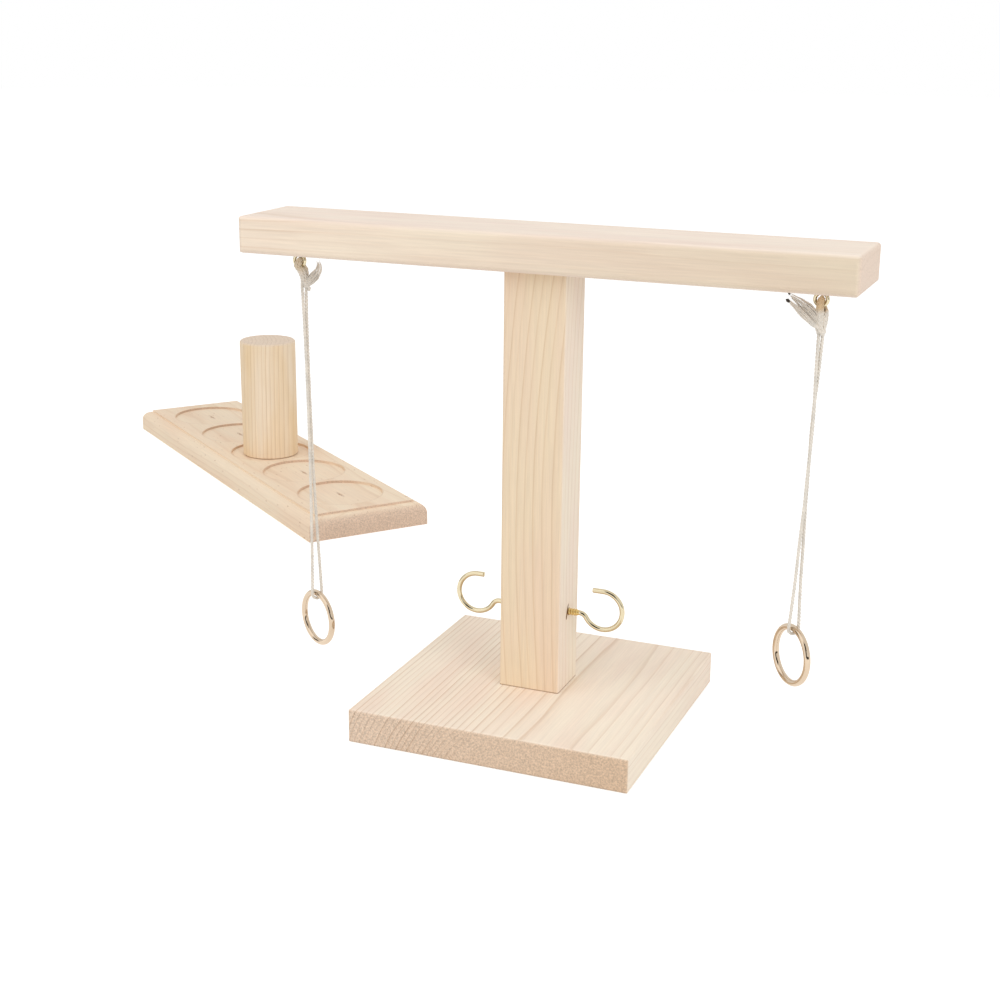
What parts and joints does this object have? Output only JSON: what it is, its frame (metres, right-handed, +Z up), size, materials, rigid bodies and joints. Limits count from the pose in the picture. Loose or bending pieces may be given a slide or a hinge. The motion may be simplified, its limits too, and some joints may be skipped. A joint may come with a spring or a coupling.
{
  "type": "ring toss game",
  "caption": "Tabletop ring toss game: a T-shaped wooden stand with a ring on a string under each end of its beam, a hook on each side of its post, and a seat board with a peg.",
  "frame": {"origin": "middle of the base plate's underside, on the floor", "axes": "+X along the beam towards its right end seen from the front, -Y is the front, +Z up the post"},
  "size_m": [0.6535, 0.5421, 0.242],
  "materials": {
    "pine_base": "planed and sanded, bare",
    "pine_post": "planed and sanded, bare",
    "pine_beam": "planed and sanded, bare",
    "pine_board": "routed and sanded, bare",
    "pine_peg": "turned and sanded, bare",
    "beech_dowel": "turned, bare",
    "zinc_steel": "zinc plated",
    "brass_plate": "bright brass plate",
    "pale_gold_ring": "polished pale gold plate",
    "cotton_string": "twisted cotton"
  },
  "bodies": {
    "stand": {"base_plate": "pine_base", "upright_post": "pine_post", "cross_beam": "pine_beam", "base_screws": "zinc_steel", "beam_dowels": "beech_dowel", "left_hook": "brass_plate", "right_hook": "brass_plate", "left_screw_eye": "brass_plate", "right_screw_eye": "brass_plate"},
    "left_knot": {"left_knot": "cotton_string"},
    "left_string": {"left_string": "cotton_string"},
    "left_ring": {"left_ring": "pale_gold_ring"},
    "right_knot": {"right_knot": "cotton_string"},
    "right_string": {"right_string": "cotton_string"},
    "right_ring": {"right_ring": "pale_gold_ring"},
    "ladder_board": {"ladder_board": "pine_board"},
    "marker_peg": {"marker_peg": "pine_peg"}
  },
  "joints": [
    {"name": "left_swing", "type": "hinge", "parent": "stand", "child": "left_knot", "pos_m": [-0.1295, 0, 0.2185], "axis": [0, 1, 0], "range_deg": [-19, 70]},
    {"name": "left_sway", "type": "hinge", "parent": "left_knot", "child": "left_string", "pos_m": [-0.12739, 0, 0.20614], "axis": [1, 0, 0], "range_deg": [-60, 60]},
    {"name": "left_ring_tilt", "type": "hinge", "parent": "left_string", "child": "left_ring", "pos_m": [-0.12401, 0, 0.04488], "axis": [0.8658, -0.5, 0.0181], "range_deg": [-70, 70]},
    {"name": "right_swing", "type": "hinge", "parent": "stand", "child": "right_knot", "pos_m": [0.1295, 0, 0.2185], "axis": [0, -1, 0], "range_deg": [-19, 70]},
    {"name": "right_sway", "type": "hinge", "parent": "right_knot", "child": "right_string", "pos_m": [0.13032, 0, 0.20607], "axis": [1, 0, 0], "range_deg": [-60, 60]},
    {"name": "right_ring_tilt", "type": "hinge", "parent": "right_string", "child": "right_ring", "pos_m": [0.12661, 0, 0.06412], "axis": [0.7069, -0.7071, -0.0185], "range_deg": [-70, 70]},
    {"name": "board_lift", "type": "slide", "parent": "stand", "child": "ladder_board", "axis": [0, 0, 1], "range_m": [0, 0.15]},
    {"name": "peg_lift", "type": "slide", "parent": "ladder_board", "child": "marker_peg", "axis": [0, 0, 1], "range_m": [0, 0.1]}
  ]
}
